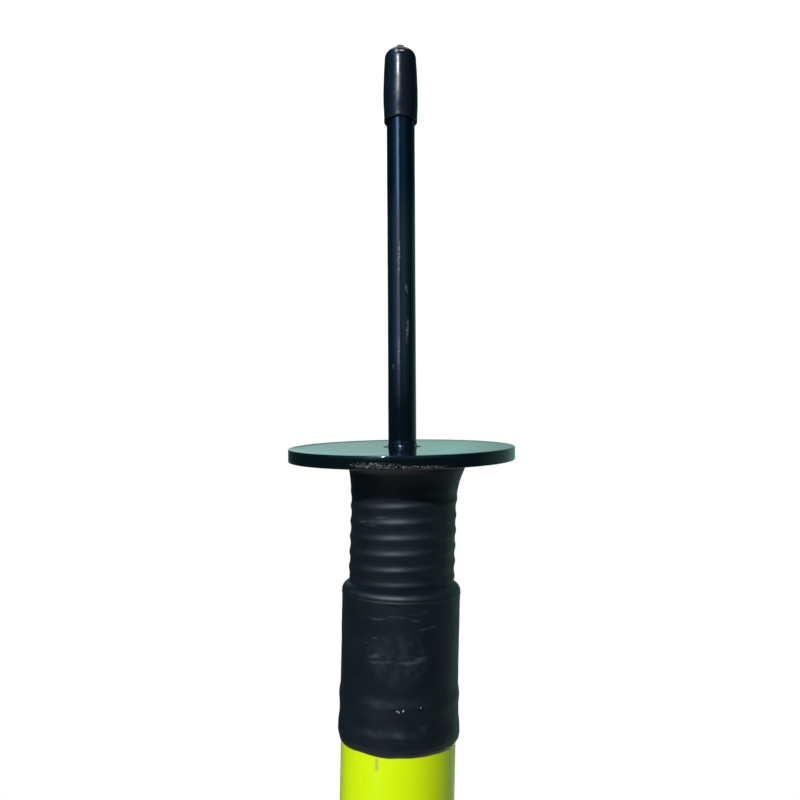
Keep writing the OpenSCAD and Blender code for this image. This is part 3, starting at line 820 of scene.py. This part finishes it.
# slack folds, the hem, the gathered top and the seam over it
def wrapPocket(r, turn, z):
    x, y = sin(radians(turn)), -cos(radians(turn))
    onDome = held((z - pocket["top"]) / pocket["dome"])
    fromSeam = abs(turn - 90)
    # the two layers run straight to the seam
    if fromSeam < pocket["open"]:
        r /= 1 - (1 - cos(radians(pocket["open"] - fromSeam))) * (1 - onDome)
    slack = max(0.0, noise.noise(Vector((x * 1.8, y * 1.8, z / 0.16))) + 0.15)
    folds = max(0.0, noise.noise(Vector((x * 1.1, y * 1.1, z / 0.016 + 3 * x))) - 0.05)
    low = max(0.0, 1 - (z - pocket["low"]) / pocket["lowReach"])
    out = 0.0012 * slack + (0.0010 + 0.0012 * low) * folds
    out += 0.00025 * (1 + noise.noise(Vector((x * 5, y * 5, z / 0.006))))
    rise = z - pocket["low"]
    if r > pocket["inner"] + 0.0004 and rise < pocket["hem"]:
        out += pocket["hemOut"]
    out -= 0.0002 * max(0.0, 1 - abs(rise - pocket["hem"] + 0.0015) / 0.0012)
    if onDome > 0:
        out *= 1 - onDome
        gathers = 0.5 + 0.5 * cos(radians(turn * pocket["gathers"]))
        out += pocket["gatherOut"] * onDome * (1 - onDome) * 4 * gathers
        ridge = pocket["ridge"] * max(0.0, 1 - abs(r * y) / pocket["ridgeWidth"])
        z += ridge * onDome
        r += ridge * (1 - onDome)
    return r + out, z


bm = turnProfile(pocketLine(0, 60)[::-1] + pocketLine(pocket["wall"], 150), steps=160)
pocketMap = bm.loops.layers.uv.new("UVMap")
for face in bm.faces:
    centre = face.calc_center_median()
    middle = degrees(atan2(centre.x, -centre.y))
    for loop in face.loops:
        turn = degrees(atan2(loop.vert.co.x, -loop.vert.co.y))
        turn += 360 * round((middle - turn) / 360)
        loop[pocketMap].uv = (turn / 360 + 0.5, (loop.vert.co.z - pocket["low"]) / pocket["height"])
reshape(bm, wrapPocket)
pocketCloth = makeFlagCloth(
    "pocketCloth", pocket["around"], pocket["height"], (0.0946, 0.1018), (0.0018, 0.0105))
flagPocket = makePiece(bm, "flag_pocket_sewn", pocketCloth, "flag_cloth", "flag_pocket")
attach(flagPocket, "flag")
print("flag pocket made")


# stage and light
def linkObject(name, data):
    made = bpy.data.objects.new(name, data)
    bpy.context.scene.collection.objects.link(made)
    return made


def makeFloor():
    bm = bmesh.new()
    bmesh.ops.create_grid(bm, x_segments=2, y_segments=2, size=12)
    bmesh.ops.translate(bm, vec=(0, 0, tipHeight - 0.0002), verts=bm.verts)
    mesh = bpy.data.meshes.new("floor")
    bm.to_mesh(mesh)
    bm.free()
    finish, tree, coords = newFinish("floorWhite")
    away = put(tree, "VectorMath", {0: coords}, operation="LENGTH").outputs["Value"]
    level = put(tree, "MapRange", {
        "Value": away, "From Min": 0.16, "From Max": 0.75, "To Min": 0.96, "To Max": 1.0,
    })
    glow = put(tree, "Emission", {"Color": (1, 1, 1, 1), "Strength": level.outputs[0]})
    paper = put(tree, "BsdfDiffuse", {"Color": (0.7, 0.7, 0.7, 1)})
    seen = put(tree, "AddShader", {0: glow.outputs[0], 1: paper.outputs[0]})
    path = put(tree, "LightPath")
    shown = calc(tree, "MAXIMUM", path.outputs["Is Camera Ray"], path.outputs["Is Glossy Ray"])
    both = put(tree, "MixShader", {0: shown, 1: paper.outputs[0], 2: seen.outputs[0]})
    closeFinish(tree, both)
    finish.cycles.emission_sampling = "NONE"
    mesh.materials.append(finish)
    floor = linkObject("floor", mesh)
    floor.visible_shadow = False


# a can of dark and pale card round the foot, which only reflections see; its bands are given by their turn
# in degrees from the front, positive towards -X
screen = {
    "inner": 0.004, "radius": 0.45, "rim": 0.022, "low": tipHeight - 0.0001, "high": 0.95,
    "lowTo": -0.045, "highFrom": 0.0, "fade": 0.31, "baseFrom": 0.46, "baseTo": 0.30,
    "lowBands": [
        (-180, (0.44, 0.78, 0.71)), (-162, (0.60, 0.95, 0.88)), (-152, (0.06, 0.12, 0.12)),
        (-135, (0.01, 0.03, 0.05)), (-87, (0.04, 0.12, 0.22)), (-57, (0.22, 0.48, 0.85)),
        (-38, (0.60, 0.90, 1.30)), (-32, (1.6, 2.1, 2.7)), (-20, (1.5, 1.9, 2.4)),
        (-12, (0.20, 0.34, 0.50)), (-4, (0.16, 0.28, 0.42)), (12, (0.30, 0.50, 0.75)),
        (24, (0.26, 0.48, 0.72)), (46, (0.10, 0.22, 0.38)), (74, (0.02, 0.07, 0.12)),
        (98, (0.06, 0.14, 0.14)), (112, (0.17, 0.36, 0.33)), (160, (0.22, 0.38, 0.34)),
        (169, (0.30, 0.52, 0.48)), (174, (0.44, 0.78, 0.71)), (180, (0.44, 0.78, 0.71)),
    ],
    "highBands": [
        (-180, (0.10, 0.16, 0.16)), (-130, (0.02, 0.04, 0.05)), (-80, (0.015, 0.025, 0.03)),
        (0, (0.010, 0.014, 0.018)), (70, (0.010, 0.020, 0.022)), (95, (0.10, 0.22, 0.20)),
        (140, (0.30, 0.50, 0.46)), (180, (0.14, 0.24, 0.22)),
    ],
}


def bandRamp(tree, place, bands):
    ramp = put(tree, "ValToRGB", {"Fac": place})
    stops = ramp.color_ramp.elements
    stops[0].position, stops[0].color = 0.0, (*bands[0][1], 1)
    stops[1].position, stops[1].color = 1.0, (*bands[-1][1], 1)
    for angle, colour in bands[1:-1]:
        stops.new((angle + 180) / 360).color = (*colour, 1)
    return ramp.outputs[0]


def makeScreen():
    bm = turnProfile([(screen["inner"], screen["low"]), (screen["radius"], screen["low"]),
                      (screen["radius"], screen["high"]), (screen["rim"], screen["high"])], steps=96)
    mesh = bpy.data.meshes.new("screen")
    bm.to_mesh(mesh)
    bm.free()
    finish, tree, coords = newFinish("screenCard")
    split = put(tree, "SeparateXYZ", {0: coords})
    towards = [calc(tree, "MULTIPLY", split.outputs[axis], -1.0) for axis in (0, 1)]
    turn = calc(tree, "ARCTAN2", *towards)
    place = calc(tree, "ADD", calc(tree, "DIVIDE", turn, 2 * pi), 0.5)
    lower = bandRamp(tree, place, screen["lowBands"])
    upper = bandRamp(tree, place, screen["highBands"])
    height = split.outputs[2]
    upward = put(tree, "MapRange", {
        "Value": height, "From Min": screen["lowTo"], "From Max": screen["highFrom"],
    })
    colour = mixColours(tree, upward.outputs[0], lower, upper)
    # higher up it fades to the white of the room
    fade = put(tree, "MapRange", {"Value": height, "From Min": screen["fade"], "From Max": screen["high"]})
    colour = mixColours(tree, fade.outputs[0], colour, (1, 1, 1))
    # the base of the can, which the cap sees, has the same bands in stronger contrast
    away = put(tree, "VectorMath", {0: coords}, operation="LENGTH").outputs["Value"]
    base = put(tree, "MapRange", {
        "Value": away, "From Min": screen["baseFrom"], "From Max": screen["baseTo"],
    }).outputs[0]
    deeper = put(tree, "VectorMath", {0: colour, 1: colour}, operation="MULTIPLY").outputs[0]
    closeFinish(tree, put(tree, "Emission", {"Color": mixColours(tree, base, colour, deeper)}))
    finish.cycles.emission_sampling = "NONE"
    mesh.materials.append(finish)
    card = linkObject("screen", mesh)
    for ray in ("camera", "diffuse", "shadow", "transmission", "volume_scatter"):
        setattr(card, "visible_" + ray, False)


def makeLamp(name, place, aim, size, watts, spread=180):
    lamp = bpy.data.lights.new(name, "AREA")
    lamp.shape = "DISK"
    lamp.size = size
    lamp.energy = watts
    lamp.spread = radians(spread)
    made = linkObject(name, lamp)
    made.location = place
    made.rotation_euler = (Vector(aim) - Vector(place)).to_track_quat("-Z", "Y").to_euler()
    made.visible_camera = False
    return made


def makeWorld():
    world = bpy.data.worlds.new("studio")
    bpy.context.scene.world = world
    world.use_nodes = True
    tree = world.node_tree
    tree.nodes.clear()
    path = put(tree, "LightPath")
    shown = calc(tree, "MAXIMUM", path.outputs["Is Camera Ray"], path.outputs["Is Glossy Ray"])
    shown = calc(tree, "MAXIMUM", shown, path.outputs["Is Transmission Ray"])
    level = put(tree, "MapRange", {"Value": shown, "To Min": 0.10, "To Max": 1.0})
    back = put(tree, "Background", {"Color": (1, 1, 1, 1), "Strength": level.outputs[0]})
    put(tree, "OutputWorld", {"Surface": back.outputs[0]})


makeFloor()
makeScreen()
makeWorld()
# the key stands in for the sun: in front, towards +X, on the spike's side of the plate; turns in degrees
key = {"side": 20, "down": 28.7, "distance": 1.6, "size": 0.05, "watts": 29}
keyAim = Vector((0, -plate["radius"], plate["thickness"]))
keySide, keyDown = radians(key["side"]), radians(key["down"])
keyWay = Vector((sin(keySide) * cos(keyDown), -cos(keySide) * cos(keyDown), -sin(keyDown)))
makeLamp("key", keyAim + keyWay * key["distance"], keyAim, key["size"], key["watts"])
# soft lamps for the flag and the upper pole, which the photo leaves out
makeLamp("flagLight", (1.7, -1.5, 2.2), (0.15, 0, 1.35), size=0.5, watts=5, spread=46)
makeLamp("backLight", (-0.9, 1.9, 2.0), (0.1, 0, 1.3), size=0.6, watts=5, spread=46)
poleLamps = (
    makeLamp("poleLight", (1.3, -1.5, 0.95), (0, 0, 0.72), size=0.5, watts=0.8, spread=32),
    makeLamp("poleBackLight", (-0.9, 1.4, 0.6), (0, 0, 0.42), size=0.5, watts=2.2, spread=50),
)
for lamp in poleLamps:
    lamp.visible_glossy = False
bpy.context.scene.view_settings.view_transform = "Standard"
print("light set")
